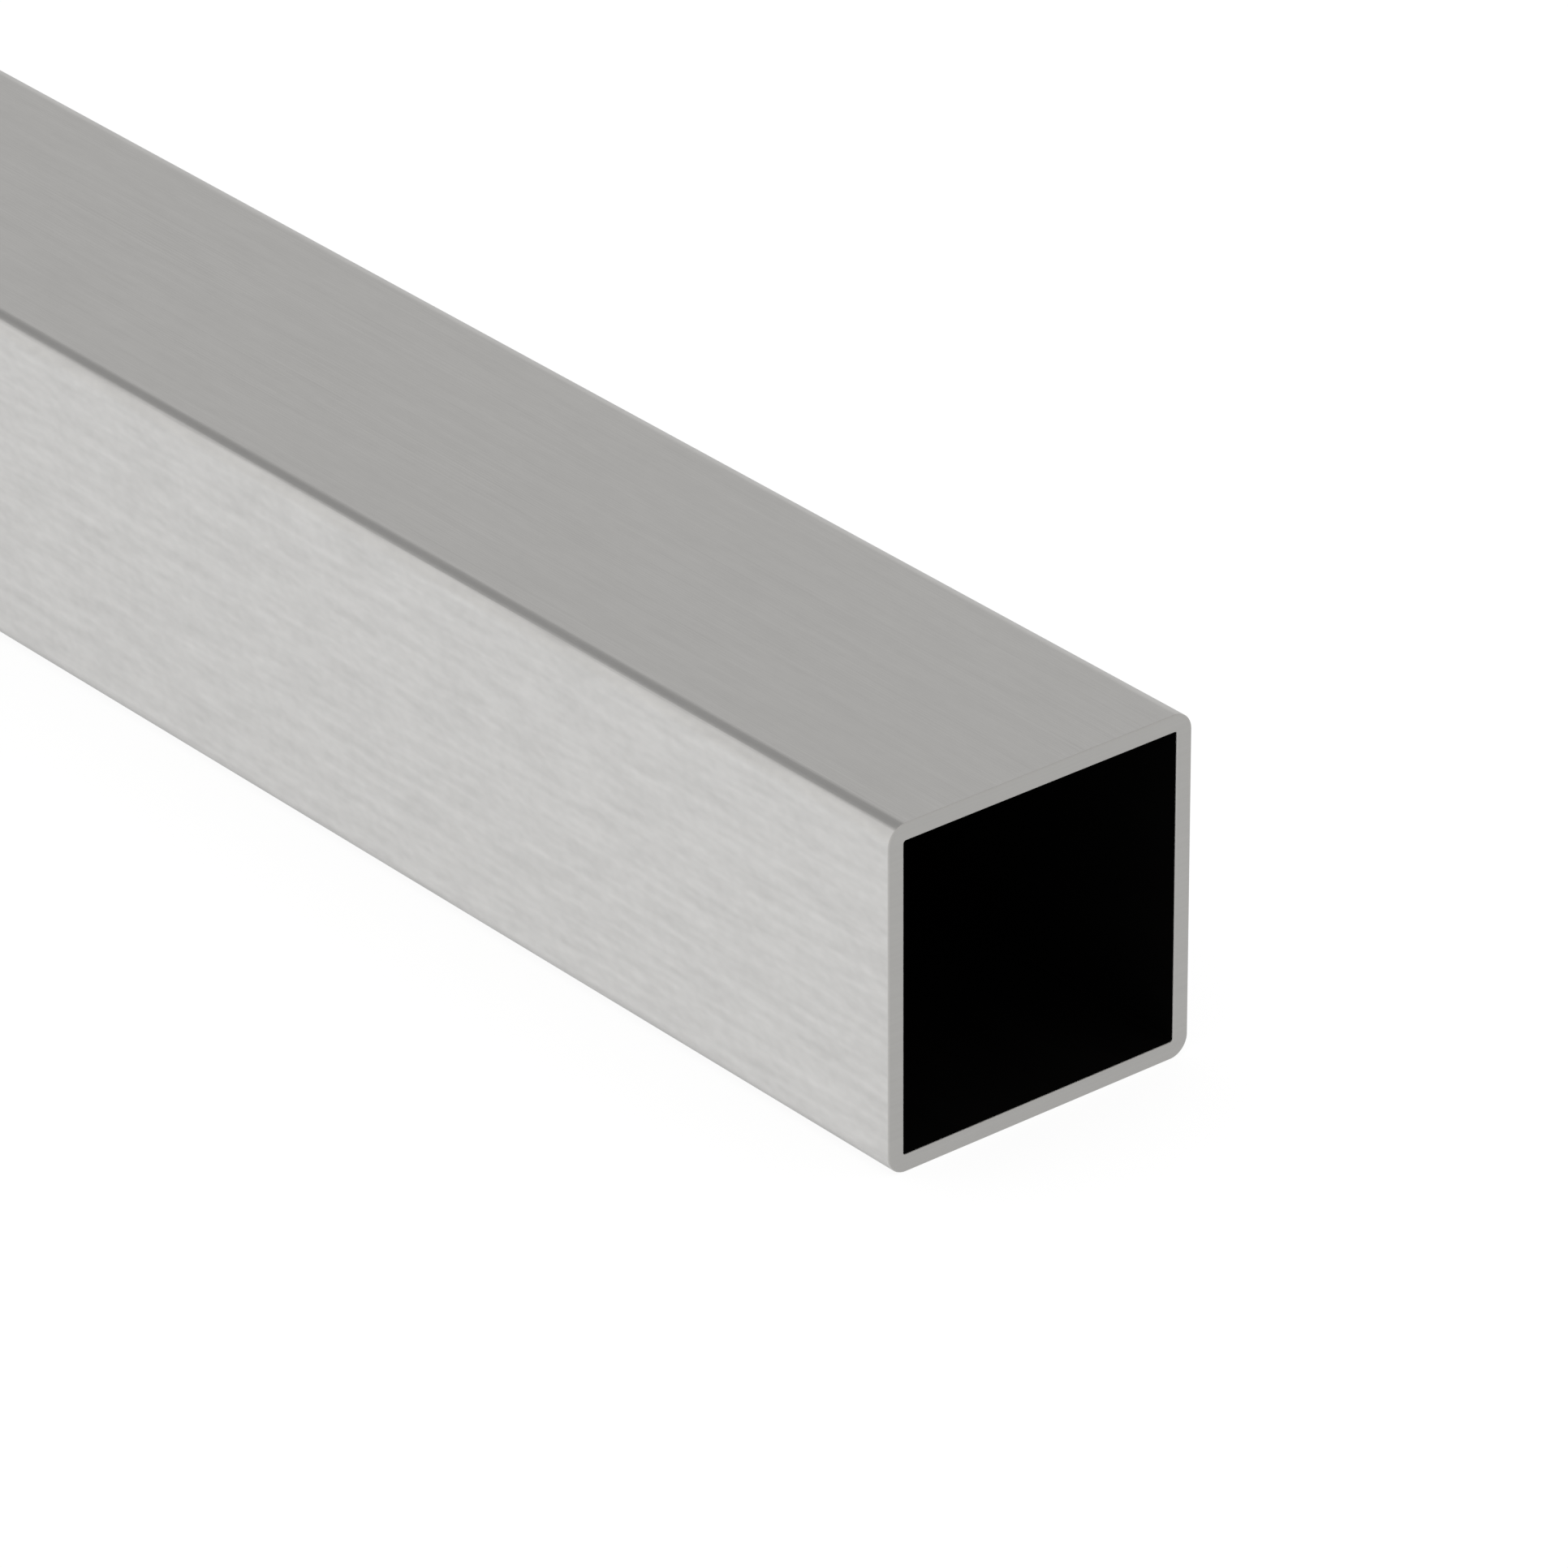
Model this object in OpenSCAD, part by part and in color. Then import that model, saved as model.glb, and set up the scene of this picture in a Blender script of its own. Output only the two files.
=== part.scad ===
// A length of square tube stock, lying along X on one of its flat sides.
// The wall is one strip folded round into a square, so every corner is a bend that keeps the
// wall's thickness: the outside is tightly rounded, and the bore's corners look all but sharp.
// Both ends are sawn square, and their sharp edges are broken with a small bevel, inside and out.
// The origin is on the floor, under the middle of the tube.

/* [Section] */
// Width and height of the square section, outside
section_w = 40; // [20:1:100]
// Thickness of the wall, the same all round
wall_t = 2; // [1:0.1:5]
// Radius inside each bent corner
bend_r = 0.3; // [0.2:0.1:3]

/* [Stock] */
// Length that the stock is cut to
stock_len = 1000; // [100:10:6000]
// Width of the bevel that breaks the edges of a sawn end
edge_break = 0.2; // [0.05:0.05:0.4]

/* [Hidden] */
// A bend keeps the wall's thickness, so the outside radius follows from the inside one
corner_r = bend_r + wall_t;
bore_w = section_w - 2 * wall_t;
// How far the bore's cut runs out past each end
cut_past = 1;
// Segments of a full circle
round_fn = 96;

// One side of a bar standing on Z, from its axis out to its reach. Each end has a 45 degree
// bevel: below 0 it steps in, above 0 it flares out. The bar runs past both ends by run_out.
function bevelled_side(reach, bevel, run_out) = [
    [0, -run_out],
    [reach + bevel + run_out, -run_out],
    [reach, abs(bevel)],
    [reach, stock_len - abs(bevel)],
    [reach + bevel + run_out, stock_len + run_out],
    [0, stock_len + run_out]
];

// A slab as wide as the bar one way, and as the centres of its corners the other way
module flat_slab(width, radius, bevel, run_out)
    rotate([90, 0, 0])
        linear_extrude(width - 2 * radius, center = true)
            for (side = [0, 1])
                mirror([side, 0])
                    polygon(bevelled_side(width / 2, bevel, run_out));

// The round column that fills one corner of the bar
module corner_column(radius, bevel, run_out)
    rotate_extrude($fn = round_fn)
        polygon(bevelled_side(radius, bevel, run_out));

// A square bar standing on Z: two crossed slabs, and a column in each corner
module rounded_bar(width, radius, bevel, run_out = 0) {
    corner = width / 2 - radius;
    for (turn = [0, 90])
        rotate(turn)
            flat_slab(width, radius, bevel, run_out);
    for (x = [-corner, corner], y = [-corner, corner])
        translate([x, y, 0])
            corner_column(radius, bevel, run_out);
}

// The tube: the outside bar less its bore, laid down along X
module square_tube()
    color("#c3c2bf")
        translate([-stock_len / 2, 0, section_w / 2])
            rotate([0, 90, 0])
                difference() {
                    rounded_bar(section_w, corner_r, -edge_break);
                    rounded_bar(bore_w, bend_r, edge_break, cut_past);
                }

square_tube();
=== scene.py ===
# %% [markdown]
# # A length of square metal tube in brushed stainless steel
# The real tube is one flat strip of steel, folded round into a square and brushed lengthwise
# with an abrasive belt. A saw then cuts it to length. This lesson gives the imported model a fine
# skin, three finishes, a pale floor and soft light, and looks at it from where the photograph
# was taken. All sizes are in metres.

import bpy
import numpy as np
from mathutils import Matrix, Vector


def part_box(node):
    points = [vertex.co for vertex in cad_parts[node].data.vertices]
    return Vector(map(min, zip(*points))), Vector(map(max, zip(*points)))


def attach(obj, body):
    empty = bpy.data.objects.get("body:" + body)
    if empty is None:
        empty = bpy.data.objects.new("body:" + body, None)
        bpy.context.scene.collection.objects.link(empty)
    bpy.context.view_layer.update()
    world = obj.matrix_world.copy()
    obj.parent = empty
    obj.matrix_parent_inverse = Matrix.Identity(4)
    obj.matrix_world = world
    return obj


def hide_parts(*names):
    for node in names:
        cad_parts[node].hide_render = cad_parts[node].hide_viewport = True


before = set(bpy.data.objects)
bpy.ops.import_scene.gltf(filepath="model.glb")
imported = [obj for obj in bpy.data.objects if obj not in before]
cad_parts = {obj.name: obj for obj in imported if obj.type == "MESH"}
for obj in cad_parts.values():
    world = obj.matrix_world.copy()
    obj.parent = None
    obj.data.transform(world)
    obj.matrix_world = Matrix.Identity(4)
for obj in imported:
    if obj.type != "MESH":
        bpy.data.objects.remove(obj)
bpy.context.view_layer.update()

# %% [markdown]
# ## Sizes
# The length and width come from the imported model, so a longer or wider tube needs no change here.
# The wall, the bend and the broken edge can't be read from a box, so they are named. A bend keeps
# the thickness of the wall, so its outside radius is its inside radius plus the wall.

# %% Sizes
LOW, HIGH = (np.array(corner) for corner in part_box("square_tube"))
LENGTH, WIDTH = (HIGH - LOW)[:2]
MIDDLE = (LOW + HIGH) / 2
WALL = 0.002
BEND_INSIDE = 0.0003
BEND_OUTSIDE = BEND_INSIDE + WALL
EDGE_BREAK = 0.0002
print(f"tube {LENGTH:.3f} long, {WIDTH:.3f} wide, bends {BEND_OUTSIDE * 1000:.1f} mm outside")

# %% [markdown]
# ## Camera
# A long lens, from above and to the right, gives the photograph's flat perspective. A camera
# could be placed by eye, but a tube is all straight lines, so this one was fitted to them. It is
# written the way a photographer would say it: how far round, how high, how far off, and where in
# the picture the middle of the near end falls. The lens isn't shifted, because the camera's own
# place already brings the tube to where it belongs in the picture.

# %% Camera
PICTURE_SIDE = 1932
NEAR_END_PIXEL = (1282.5, 1162.4)
AROUND, ABOVE, ROLL = np.radians((50.69, 28.34, -0.32))
FOCAL_MM, FILM_MM = 251.3, 36.0
DISTANCE = 1.1036


def photo_view():
    """The camera's matrix. Its third axis points back at the photographer. Its first axis lies
    level and is then rolled about the third. It stands off the near end by the distance, and by
    the two offsets that put the middle of that end on its pixel."""
    back = np.array(
        (np.sin(AROUND) * np.cos(ABOVE), -np.cos(AROUND) * np.cos(ABOVE), np.sin(ABOVE))
    )
    level = np.array((np.cos(AROUND), np.sin(AROUND), 0))
    upright = np.cross(back, level)
    right = np.cos(ROLL) * level + np.sin(ROLL) * upright
    up = np.cos(ROLL) * upright - np.sin(ROLL) * level
    metres_a_pixel = DISTANCE * FILM_MM / FOCAL_MM / PICTURE_SIDE
    across, down = (np.array(NEAR_END_PIXEL) - PICTURE_SIDE / 2) * metres_a_pixel
    view = np.eye(4)
    view[:3, :3] = np.stack((right, up, back), 1)
    view[:3, 3] = MIDDLE + (LENGTH / 2, 0, 0) - across * right + down * up + DISTANCE * back
    return Matrix(view)


camera = bpy.data.objects.new("camera", bpy.data.cameras.new("camera"))
bpy.context.scene.collection.objects.link(camera)
camera.data.sensor_width = FILM_MM
camera.data.lens = FOCAL_MM
camera.matrix_world = photo_view()
bpy.context.scene.camera = camera
print("camera at", [round(value, 3) for value in camera.matrix_world.translation])

# %% [markdown]
# ## An outline with rounded corners
# A square tube is a ring in two ways. Its section is a rounded square. Its wall, cut along the
# tube, is a long thin rectangle whose edges the deburring has rounded. Both outlines come from
# one function. It gives each point as a spot and a direction, because the same spots with a
# larger or smaller radius are the same outline, further out or further in. A flat side could do
# with its two ends, and a middle for the map's seam, but a few more points keep the mesh from
# turning into needles.

# %% The two outlines
# Steps along the tube, across a sawn ring and round a broken edge.
LONG_STEPS, RING_STEPS, EDGE_STEPS = 40, 4, 6
# Steps across a flat side and round a bend.
SIDE_STEPS, BEND_STEPS = 8, 14


def rounded_rectangle(half_size, radius, flat_steps, bend_steps):
    """Walks a rectangle's four sides and corners, anticlockwise from the side that faces its
    second axis. Along a side, the spot moves from one corner's centre to the next and the
    outward direction stands still. In a corner, the spot stands still and the direction turns by
    90 degrees. The outline is every spot plus the radius times its direction."""
    corners = (np.array(half_size) - radius) * [(1, 1), (-1, 1), (-1, -1), (1, -1)]
    spots, turns = [], []
    for side in range(4):
        steps = flat_steps[side % 2]
        along = np.append(np.arange(steps) / steps, np.ones(bend_steps))[:, None]
        bent = np.append(np.zeros(steps), np.arange(bend_steps) / bend_steps)
        spots.append(corners[side] * (1 - along) + corners[(side + 1) % 4] * along)
        turns.append(np.radians(90) * (side + 1 + bent))
    turns = np.concatenate(turns)
    return np.concatenate(spots), np.stack([np.cos(turns), np.sin(turns)], 1)


wall_outline = rounded_rectangle(
    (LENGTH / 2, WALL / 2), EDGE_BREAK, (LONG_STEPS, RING_STEPS), EDGE_STEPS
)
square_outline = rounded_rectangle(
    (WIDTH / 2, WIDTH / 2), BEND_OUTSIDE, (SIDE_STEPS, SIDE_STEPS), BEND_STEPS
)
print(f"the wall's outline has {len(wall_outline[0])} points, the square {len(square_outline[0])}")

# %% [markdown]
# ## The tube's skin
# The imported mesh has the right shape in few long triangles, which a Bevel modifier would cut
# badly. A skin worked out from the two outlines has rounder bends and edges, and an exact normal
# at every point. Carrying the wall's outline round the square covers the outside, both sawn ends
# and the bore with one grid. It closes on itself both ways, so it has no pole and nothing to
# stitch.

# %% The skin as a grid of points
def tube_grid():
    """Rows follow the wall's outline: a station along the tube and a height above the middle of
    the wall. Columns follow the square. A point is its column's spot plus its column's direction
    times the bend's radius at that height. A normal has the row's direction in the plane of the
    tube's axis and the column's direction."""
    row_spots, row_out = wall_outline
    station, height = (row_spots + EDGE_BREAK * row_out).T
    # The map's seam goes to the middle of the side that the tube rests on.
    seam = 2 * (SIDE_STEPS + BEND_STEPS) + SIDE_STEPS // 2
    column_spots, column_out = np.roll(square_outline, -seam, 1)
    shape = (len(station), len(column_out))
    points, normals = np.empty(shape + (3,)), np.empty(shape + (3,))
    radius = BEND_OUTSIDE - WALL / 2 + height
    points[..., 0] = station[:, None]
    points[..., 1:] = column_spots + radius[:, None, None] * column_out
    normals[..., 0] = row_out[:, :1]
    normals[..., 1:] = row_out[:, 1:, None] * column_out
    return points + MIDDLE, normals


points, normals = tube_grid()
print("rows and columns:", points.shape[:2], "longest normal", np.linalg.norm(normals, axis=2).max())

# %% [markdown]
# ## Unrolling the skin
# A bake paints the finish onto a flat map. Blender can unwrap a mesh by itself, but it cuts a
# tube in odd places. Here the map is the strip that the tube was folded from: the outside
# unrolled, with the bore and the two sawn ends as thin strips beside it. The brush lines run
# along the tube, so the map is stretched across them, where they are finest.

# %% The map's strips
# Each part of the skin in turn: its name, how many rows it has, and its strip of the map.
PARTS = ("outside", "far end", "bore", "near end")
ROW_COUNTS = (LONG_STEPS, RING_STEPS + 2 * EDGE_STEPS) * 2
STRIPS = ((0.0, 0.78), (0.80, 0.86), (0.88, 0.92), (0.94, 1.0))


def distance_round(outline):
    """How far round a closed outline each point lies, with the way back to the first added."""
    steps = np.linalg.norm(np.roll(outline, -1, 0) - outline, axis=1)
    return np.append(0, np.cumsum(steps))


def unrolled(rows, columns):
    """The map's place for each corner of each quad. Across a long strip lies the distance round
    the square, and along it the distance along the tube. The ends' strips swap the two."""
    round_square = distance_round(points[0])
    round_square /= round_square[-1]
    round_wall = distance_round(points[:, 0])
    first = np.append(0, np.cumsum(ROW_COUNTS))
    place = np.empty(rows.shape + (2,))
    for part, (low, high) in enumerate(STRIPS):
        start, stop = first[part], first[part + 1]
        inside = slice(start, stop)
        share = (round_wall[rows[inside]] - round_wall[start]) / (
            round_wall[stop] - round_wall[start]
        )
        over = round_square[columns[inside]]
        if PARTS[part].endswith("end"):
            share, over = over, share
        place[inside] = np.stack([share, low + (high - low) * over], -1)
    return place


print("strips of the map:", dict(zip(PARTS, STRIPS)))

# %% [markdown]
# ## From arrays to a mesh
# Each quad joins a row to the next and a column to the next, and the last ones join back to the
# first. The rows carry their part's finish. Three numbers are kept at each point, because the
# finishes need them. Upright says how steep the tube's side is there. Bend rises from 0 on a flat
# side to 1 in the middle of a corner. Endwise is 1 on a sawn face and falls to 0 round its edges.

# %% The mesh
FINISHES = {"outside": 0, "far end": 1, "bore": 2, "near end": 1}


def tube_wall():
    """Builds the mesh of the grid, with its map, its normals and its finish numbers."""
    row_count, column_count = points.shape[:2]
    rows, columns = np.indices((row_count, column_count))[..., None]
    rows = rows + [0, 1, 1, 0]
    columns = columns + [0, 0, 1, 1]
    quads = rows % row_count * column_count + columns % column_count
    mesh = bpy.data.meshes.new("tube_wall")
    mesh.from_pydata(points.reshape(-1, 3), [], quads.reshape(-1, 4).tolist())
    finish = np.repeat([FINISHES[part] for part in PARTS], ROW_COUNTS)
    mesh.polygons.foreach_set("material_index", np.repeat(finish, column_count))
    place = unrolled(rows, columns)
    mesh.uv_layers.new(name="OFBake").uv.foreach_set("vector", place.astype(np.float32).ravel())
    upright = np.abs(normals[..., 1])
    bend = 2 * upright * np.abs(normals[..., 2])
    endwise = np.abs(normals[..., 0])
    for name, values in {"upright": upright, "bend": bend, "endwise": endwise}.items():
        attribute = mesh.attributes.new(name, "FLOAT", "POINT")
        attribute.data.foreach_set("value", values.astype(np.float32).ravel())
    mesh.shade_smooth()
    mesh.normals_split_custom_set_from_vertices(normals.reshape(-1, 3).tolist())
    wall = bpy.data.objects.new("tube_wall", mesh)
    bpy.context.scene.collection.objects.link(wall)
    return wall


wall = tube_wall()
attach(wall, "root")
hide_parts("square_tube")
print("quads in the tube's wall:", len(wall.data.polygons))

# %% [markdown]
# ## Writing shader maths as Python
# A finish is a formula over the surface. Math nodes can hold it, but a page of nodes hides it, so
# a small class lets Python's own operators add them. Every other node comes from one method,
# which sets the node's settings first and then its sockets.

# %% Wires and sheets
BLACK = (0.0, 0.0, 0.0)
OPAQUE = (1.0,)
HEADROOM = 0.50
NOISE_MIDDLE = 0.5


def maths(operation, swapped=False):
    """A method that joins two wires or numbers by a Math node."""

    def joined(self, other):
        pair = (other, self) if swapped else (self, other)
        return self.sheet.add("Math", {"operation": operation}, dict(enumerate(pair)))

    return joined


class Wire:
    """A node's output, which Python's operators can add to, take from and multiply."""

    def __init__(self, sheet, socket):
        self.sheet = sheet
        self.socket = socket

    __add__ = __radd__ = maths("ADD")
    __sub__ = maths("SUBTRACT")
    __rsub__ = maths("SUBTRACT", swapped=True)
    __mul__ = __rmul__ = maths("MULTIPLY")


class Sheet:
    """The nodes of one material or world."""

    def __init__(self, owner):
        owner.use_nodes = True
        self.tree = owner.node_tree
        self.tree.nodes.clear()

    def add(self, kind, settings=(), inputs=(), output=0):
        """Adds a node, sets its settings, then gives its sockets their values or wires."""
        node = self.tree.nodes.new("ShaderNode" + kind)
        for name, value in dict(settings).items():
            setattr(node, name, value)
        for name, value in dict(inputs).items():
            if isinstance(value, Wire):
                self.tree.links.new(value.socket, node.inputs[name])
            else:
                node.inputs[name].default_value = value
        return Wire(self, node.outputs[output]) if node.outputs else node

    def ease(self, value, low, high):
        """0 below low, 1 above high, and a smooth rise between."""
        limits = {"Value": value, "From Min": low, "From Max": high}
        return self.add("MapRange", {"interpolation_type": "SMOOTHSTEP"}, limits)

    def tint(self, share, first, second):
        """A colour between two colours."""
        mixed = {0: share, 6: first + OPAQUE, 7: second + OPAQUE}
        return self.add("Mix", {"data_type": "RGBA"}, mixed, output=2)

    def toned(self, colour, tone):
        """A colour made lighter or darker by a share of itself, which can rise up to the
        headroom. The share sets a place between black and the lightest colour."""
        lightest = tuple(channel * (1.0 + HEADROOM) for channel in colour)
        return self.tint((1.0 + tone) * (1.0 / (1.0 + HEADROOM)), BLACK, lightest)

    def number(self, name):
        """One of the numbers kept at the mesh's points."""
        return self.add("Attribute", {"attribute_name": name}, output="Fac")

    def grain(self, size, detail=2.0):
        """Noise about 0 in the object's own space. Its lumps have this size along X, Y and Z."""
        place = self.add("TexCoord", output="Object")
        scaled = {0: place, 1: tuple(1 / side for side in size)}
        stretched = self.add("VectorMath", {"operation": "MULTIPLY"}, scaled)
        lumps = {"Vector": stretched, "Scale": 1.0, "Detail": detail}
        return self.add("TexNoise", inputs=lumps) - NOISE_MIDDLE


def dress(piece, finish):
    """Gives a piece one more finish."""
    piece.data.materials.append(finish)
    print(f"{finish.name}: {len(finish.node_tree.nodes)} nodes")


print("a tone can lighten a colour up to", 1.0 + HEADROOM, "times")

# %% [markdown]
# ## The brushed outside
# The belt leaves fine lines along the tube. The photograph shows streaks about a millimetre
# thick, with shorter dashes among them and faint, broad patches. The real steel also has hairline
# grooves, too fine for the photograph. A picture of brushed steel would repeat and need a file.
# Noise stretched along X does neither, so each of the four is such a noise. The streaks, dashes
# and patches are clear on the upright sides and hardly there on the top, so their strength
# follows the upright number. The steel is brushed alike all round: the fainter marks on the top
# are painted light, standing in for the light that hides them there. The bends are painted a
# little darker, as painted shade along the creases. The edge tint holds back the whitening of
# metal at a glancing angle.

# %% Brushed steel
BRUSHED = (0.600, 0.595, 0.585)
EDGE_TINT = (0.7, 0.7, 0.7, 1.0)
SATIN, SATIN_SPREAD = 0.30, 0.06
# How large the lumps of each noise are, along X, Y and Z.
STREAK, DASH = (0.0095, 0.0011, 0.0011), (0.0016, 0.0009, 0.0009)
PATCH, HAIRLINE = (0.030, 0.0060, 0.0060), (0.040, 0.00022, 0.00022)
# How strongly each changes the colour, as a share of it.
# The bends' tone is painted shade, which darkens the bends.
STREAK_TONE, DASH_TONE, PATCH_TONE, BEND_PAINTED_SHADE = 0.206, 0.138, 0.0125, -0.05
# The top keeps this share of the marks' strength, painted fainter there as painted light.
TOP_PAINTED_LIGHT_SHARE = 0.3
GROOVE_DEPTH, GROOVE_STRENGTH = 0.00002, 0.6


def brushed_steel():
    """Base colour: brushed steel, lighter and darker by streaks, dashes and patches, which are
    painted fainter on the top as painted light, and painted darker in the bends as painted shade.
    Roughness: less in the light streaks. Bump: hairlines and streaks, as shallow grooves."""
    material = bpy.data.materials.new("brushed_steel")
    sheet = Sheet(material)
    bend = sheet.number("bend")
    # Painted light: the marks are painted fainter on the top than on the upright sides.
    strength = TOP_PAINTED_LIGHT_SHARE + (1.0 - TOP_PAINTED_LIGHT_SHARE) * sheet.number("upright")
    streaks = sheet.grain(STREAK, detail=1.0)
    dashes = sheet.grain(DASH, detail=1.0)
    patches = sheet.grain(PATCH)
    hairlines = sheet.grain(HAIRLINE, detail=3.0)
    lines = STREAK_TONE * streaks + DASH_TONE * dashes + PATCH_TONE * patches
    height = hairlines + streaks
    groove = {"Strength": GROOVE_STRENGTH, "Distance": GROOVE_DEPTH, "Height": height}
    metal = {
        # The bends are painted darker here: painted shade.
        "Base Color": sheet.toned(BRUSHED, strength * lines + BEND_PAINTED_SHADE * bend * bend),
        "Metallic": 1.0,
        "Roughness": SATIN - SATIN_SPREAD * streaks,
        "Specular Tint": EDGE_TINT,
        "Normal": sheet.add("Bump", inputs=groove),
    }
    surface = sheet.add("BsdfPrincipled", inputs=metal)
    sheet.add("OutputMaterial", inputs={"Surface": surface})
    return material


dress(wall, brushed_steel())

# %% [markdown]
# ## The sawn ends
# The ends could share the belt's finish, but a saw leaves a duller, greyer face, with faint marks
# that cross the whole section in one direction. The deburring tool rounds its edges and leaves
# them a little brighter, and they are painted lighter still, as painted light that fills the
# shade the rounding would show, so that hardly a line shows between the face and the top, as in
# the photograph. The endwise number tells face from edge.

# %% Sawn steel
SAWN = (0.401, 0.396, 0.385)
DULL, DULL_SPREAD = 0.45, 0.10
SAW_MARK, CLOUD = (0.002, 0.03, 0.0004), (0.004, 0.004, 0.004)
# The edges' tone is partly brighter deburred metal and partly painted light.
MARK_TONE, EDGE_POLISH_AND_PAINTED_LIGHT = 0.08, 0.40
MARK_STRENGTH = 0.05


def sawn_steel():
    """Base colour: sawn steel with faint marks across the end and cloudy patches, lighter round
    the edges, partly as brighter deburred metal and partly as painted light. Roughness: cloudy.
    Bump: the same marks, as shallow grooves."""
    material = bpy.data.materials.new("sawn_steel")
    sheet = Sheet(material)
    marks = sheet.grain(SAW_MARK)
    clouds = sheet.grain(CLOUD)
    edge = 1.0 - sheet.number("endwise")
    groove = {"Strength": MARK_STRENGTH, "Distance": GROOVE_DEPTH, "Height": marks}
    metal = {
        # Lighter round the edges: partly deburred metal, partly painted light.
        "Base Color": sheet.toned(SAWN, MARK_TONE * (marks + clouds) + EDGE_POLISH_AND_PAINTED_LIGHT * edge),
        "Metallic": 1.0,
        "Roughness": DULL + DULL_SPREAD * clouds,
        "Normal": sheet.add("Bump", inputs=groove),
    }
    surface = sheet.add("BsdfPrincipled", inputs=metal)
    sheet.add("OutputMaterial", inputs={"Surface": surface})
    return material


dress(wall, sawn_steel())

# %% [markdown]
# ## The bore
# Nothing brushes the inside, and in the photograph it is black from edge to edge. Its near-black
# colour is painted shade, the shade deep inside the tube. Plain black would do for that one
# picture. A rough, dark solid that hardly shines also holds up when someone looks into it.

# %% Painted shade in the bore
# The bore's near-black colour is painted shade.
BORE_PAINTED_SHADE = (0.0015, 0.0014, 0.0013)
BORE_ROUGH, BORE_SPREAD, BORE_SHINE = 0.8, 0.2, 0.02
BORE_PATCH, BORE_TONE = (0.020, 0.004, 0.004), 0.8


def painted_shade_bore():
    """Base colour: near-black painted shade, patchy along the tube. Roughness: patchy in the same
    way.
    """
    material = bpy.data.materials.new("painted_shade_bore")
    sheet = Sheet(material)
    patches = sheet.grain(BORE_PATCH, detail=4.0)
    dark = {
        "Base Color": sheet.toned(BORE_PAINTED_SHADE, BORE_TONE * patches),
        "Roughness": BORE_ROUGH + BORE_SPREAD * patches,
        "Specular IOR Level": BORE_SHINE,
    }
    surface = sheet.add("BsdfPrincipled", inputs=dark)
    sheet.add("OutputMaterial", inputs={"Surface": surface})
    return material


dress(wall, painted_shade_bore())

# %% [markdown]
# ## The floor
# The photograph's background is pure white. Stronger lamps would turn a card that white, and
# would bleach the steel with it. Instead, the camera and the steel's reflections see the floor
# mostly as an even white of its own. A small share of the lit card stays in, so the tube keeps a
# faint shadow.

# %% Floor
FLOOR_HALF = 30.0
WHITE = (1.0, 1.0, 1.0, 1.0)
CARD = (0.9, 0.9, 0.9, 1.0)
EVEN_SHARE, EVEN_STRENGTH = 0.85, 1.05


def white_card():
    """Mixes the lit card with an even white, for the camera's rays and for reflected ones."""
    material = bpy.data.materials.new("white_card")
    sheet = Sheet(material)
    seen = sheet.add("LightPath", output="Is Camera Ray")
    mirrored = sheet.add("LightPath", output="Is Glossy Ray")
    card = sheet.add("BsdfDiffuse", inputs={"Color": CARD})
    even = sheet.add("Emission", inputs={"Color": WHITE, "Strength": EVEN_STRENGTH})
    share = EVEN_SHARE * (seen + mirrored)
    surface = sheet.add("MixShader", inputs={0: share, 1: card, 2: even})
    sheet.add("OutputMaterial", inputs={"Surface": surface})
    return material


floor_mesh = bpy.data.meshes.new("floor")
floor_corners = FLOOR_HALF * np.array([(-1, -1, 0), (1, -1, 0), (1, 1, 0), (-1, 1, 0)])
floor_mesh.from_pydata(floor_corners, [], [(0, 1, 2, 3)])
floor_mesh.materials.append(white_card())
floor = bpy.data.objects.new("floor", floor_mesh)
bpy.context.scene.collection.objects.link(floor)
print("floor:", 2 * FLOOR_HALF, "square")

# %% [markdown]
# ## The room
# Bare metal has no tone of its own: it shows the room. A picture of a studio could be that room,
# but a few soft shapes, each worked out from the direction of view, need no file. The side of the
# tube mirrors the white floor and is light. The top mirrors the backdrop, which is white at the
# horizon and a soft grey above it. The bend between them mirrors what hangs overhead on the left.
# In the photograph, the side's light tone runs on round half of the bend, and then comes a thin
# darker line. So a long white panel leans over the room from the front's horizon, and a long dark
# flag hangs beside it. The camera itself sees plain white all round.

# %% Room
# The room's white is slightly warm, as the steel looks in the photograph.
PAPER = (1.0, 0.993, 0.983, 1.0)
BACKDROP_LEFT, BACKDROP_RIGHT = 0.635, 0.87
# The backdrop's two tones meet between these X parts of a direction.
BACKDROP_FADE = (-0.40, 0.30)
# The horizon's white turns into the backdrop's tone between these Z parts.
HORIZON_FADE = (0.10, 0.60)
# The panel and the flag end between these X parts.
STRIP_END = (-0.45, -0.20)
# These angles, in degrees, go up from the front's horizon and over the top.
PANEL_MIDDLE, PANEL_HALF = 25.0, 44.0
FLAG_MIDDLE, FLAG_HALF = 99.0, 28.0
STRIP_BLUR = 8.0
FLAG_DEPTH = 0.37


def long_strip(sheet, direction, middle, half):
    """A strip that runs over the room along X. Seen along the tube, it lies at an angle over the
    front's horizon: a direction is turned flat on that view, and its cosine to the strip's
    middle says how near it is. 1 inside, 0 outside, with a soft edge."""
    towards = (0.0, -np.cos(np.radians(middle)), np.sin(np.radians(middle)))
    flat = sheet.add("VectorMath", {"operation": "MULTIPLY"}, {0: direction, 1: (0.0, 1.0, 1.0)})
    flat = sheet.add("VectorMath", {"operation": "NORMALIZE"}, {0: flat})
    pair = {0: flat, 1: towards}
    nearness = sheet.add("VectorMath", {"operation": "DOT_PRODUCT"}, pair, output="Value")
    outer, inner = np.cos(np.radians((half + STRIP_BLUR, half - STRIP_BLUR)))
    return sheet.ease(nearness, outer, inner)


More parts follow.
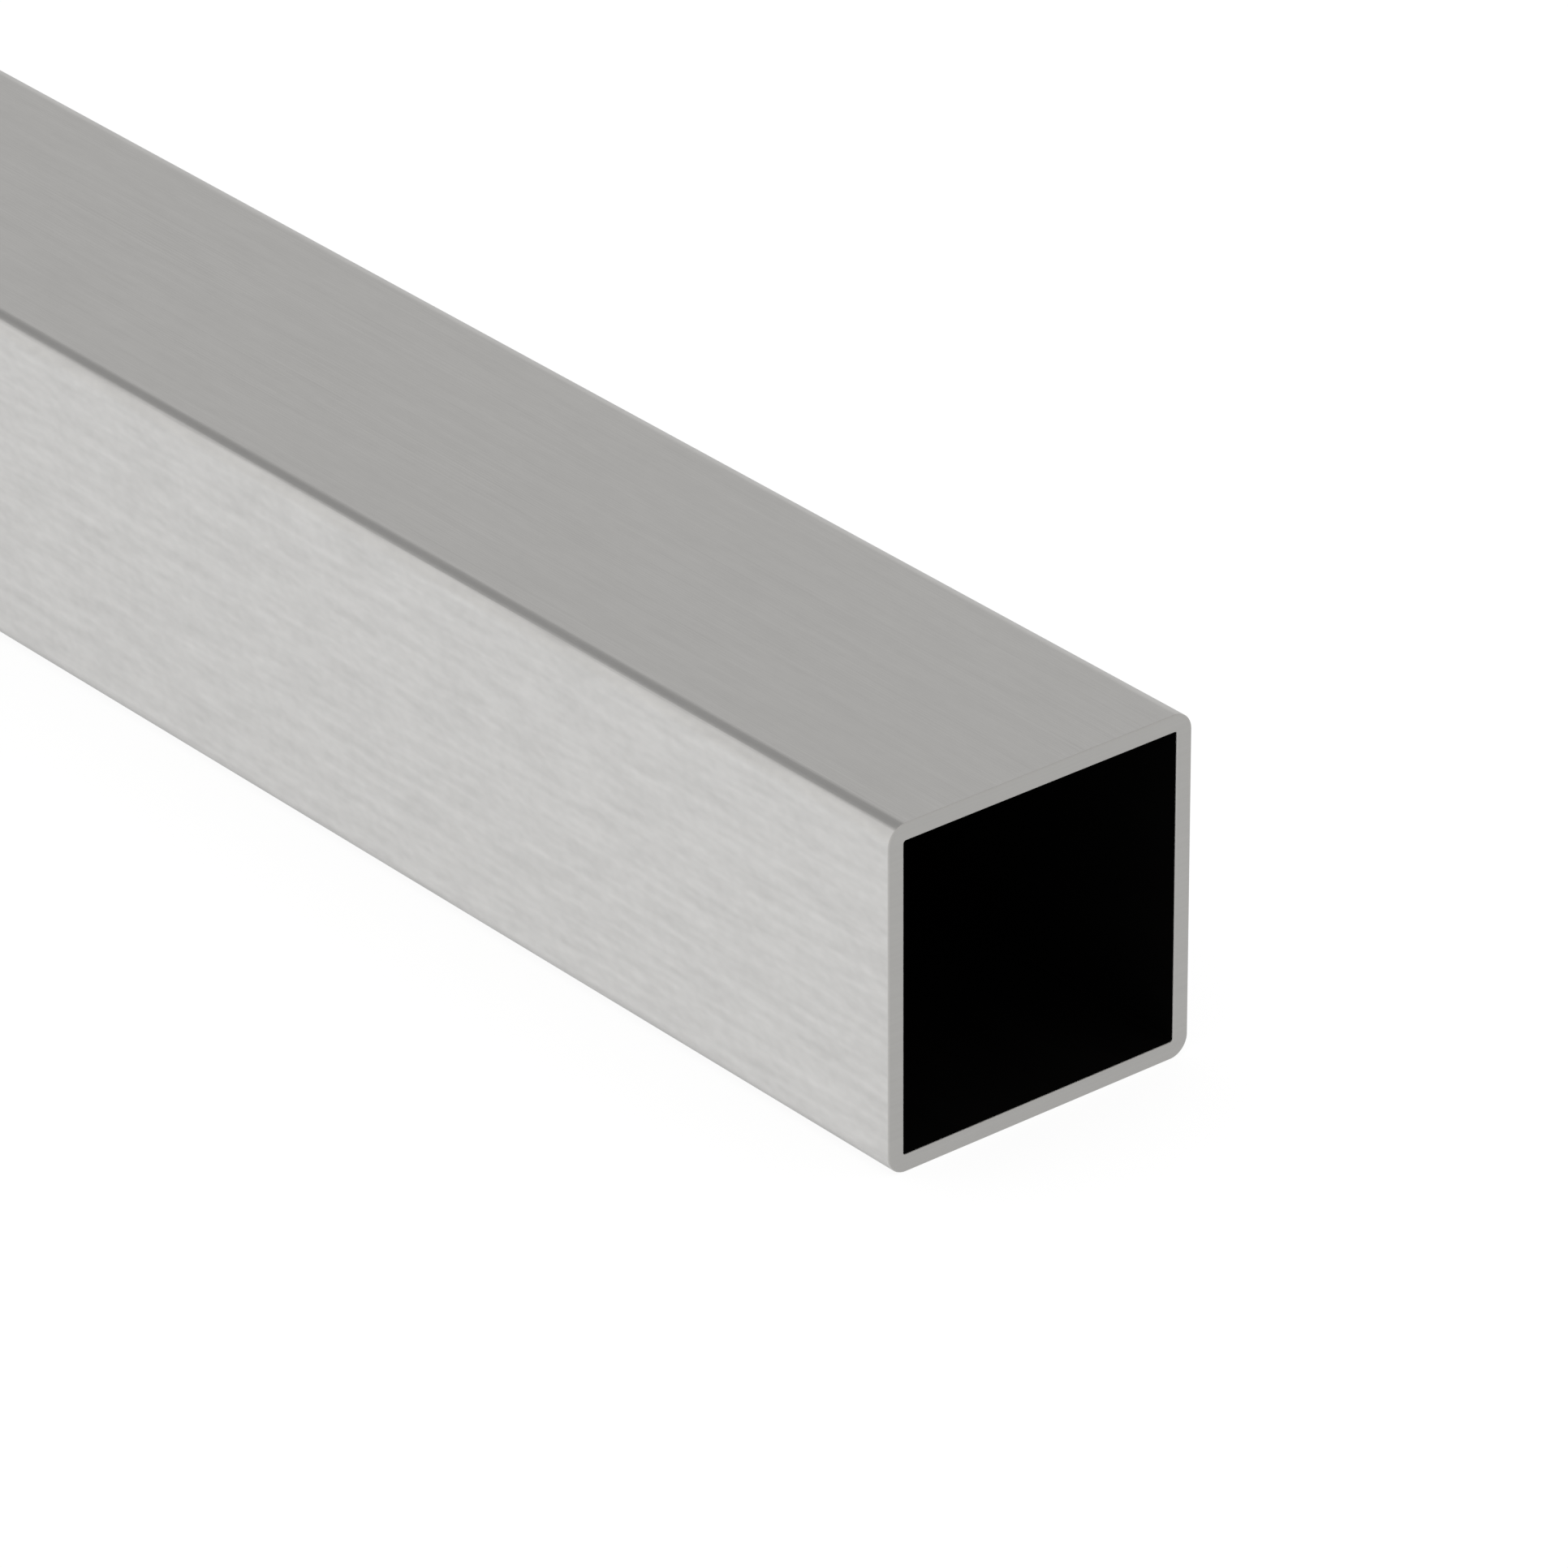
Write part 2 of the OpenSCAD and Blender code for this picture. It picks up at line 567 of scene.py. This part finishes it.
def room_light():
    """Strength: white at the horizon, and higher up the backdrop's grey, which is lighter on the
    right. On the left, it is white again inside the panel, and darker inside the flag."""
    sheet = Sheet(bpy.context.scene.world)
    direction = sheet.add("TexCoord", output="Generated")
    across = sheet.add("SeparateXYZ", inputs={0: direction}, output="X")
    height = sheet.add("SeparateXYZ", inputs={0: direction}, output="Z")
    to_right = sheet.ease(across, *BACKDROP_FADE)
    grey = BACKDROP_LEFT + (BACKDROP_RIGHT - BACKDROP_LEFT) * to_right
    tone = 1.0 - (1.0 - grey) * sheet.ease(height, *HORIZON_FADE)
    left = 1.0 - sheet.ease(across, *STRIP_END)
    panel = left * long_strip(sheet, direction, PANEL_MIDDLE, PANEL_HALF)
    flag = left * long_strip(sheet, direction, FLAG_MIDDLE, FLAG_HALF)
    strength = (tone + panel * (1.0 - tone)) * (1.0 - FLAG_DEPTH * flag)
    room = sheet.add("Background", inputs={"Color": PAPER, "Strength": strength})
    plain = sheet.add("Background", inputs={"Color": WHITE})
    seen = sheet.add("LightPath", output="Is Camera Ray")
    surface = sheet.add("MixShader", inputs={0: seen, 1: room, 2: plain})
    sheet.add("OutputWorld", inputs={"Surface": surface})


if bpy.context.scene.world is None:
    bpy.context.scene.world = bpy.data.worlds.new("room")
room_light()
print("room:", len(bpy.context.scene.world.node_tree.nodes), "nodes")

# %% [markdown]
# ## The lamp
# A tube on a white card casts a faint, soft shadow. A sun or a small bulb would give it a hard
# edge, so the lamp is a wide square above the tube's near end, as a softbox is. It is kept out
# of the reflections, where it would draw a bright line on the bends. Colours are shown as they
# are, by the Standard view.

# %% Lamp
LAMP_HEIGHT, LAMP_SIDE, LAMP_WATTS = 2.2, 2.2, 12.0
lamp = bpy.data.objects.new("overhead_lamp", bpy.data.lights.new("overhead_lamp", "AREA"))
lamp.data.size = LAMP_SIDE
lamp.data.energy = LAMP_WATTS
lamp.location = (HIGH[0], MIDDLE[1], LAMP_HEIGHT)
lamp.visible_glossy = False
bpy.context.scene.collection.objects.link(lamp)
bpy.context.scene.view_settings.view_transform = "Standard"
print("lamp at", [round(value, 3) for value in lamp.location])
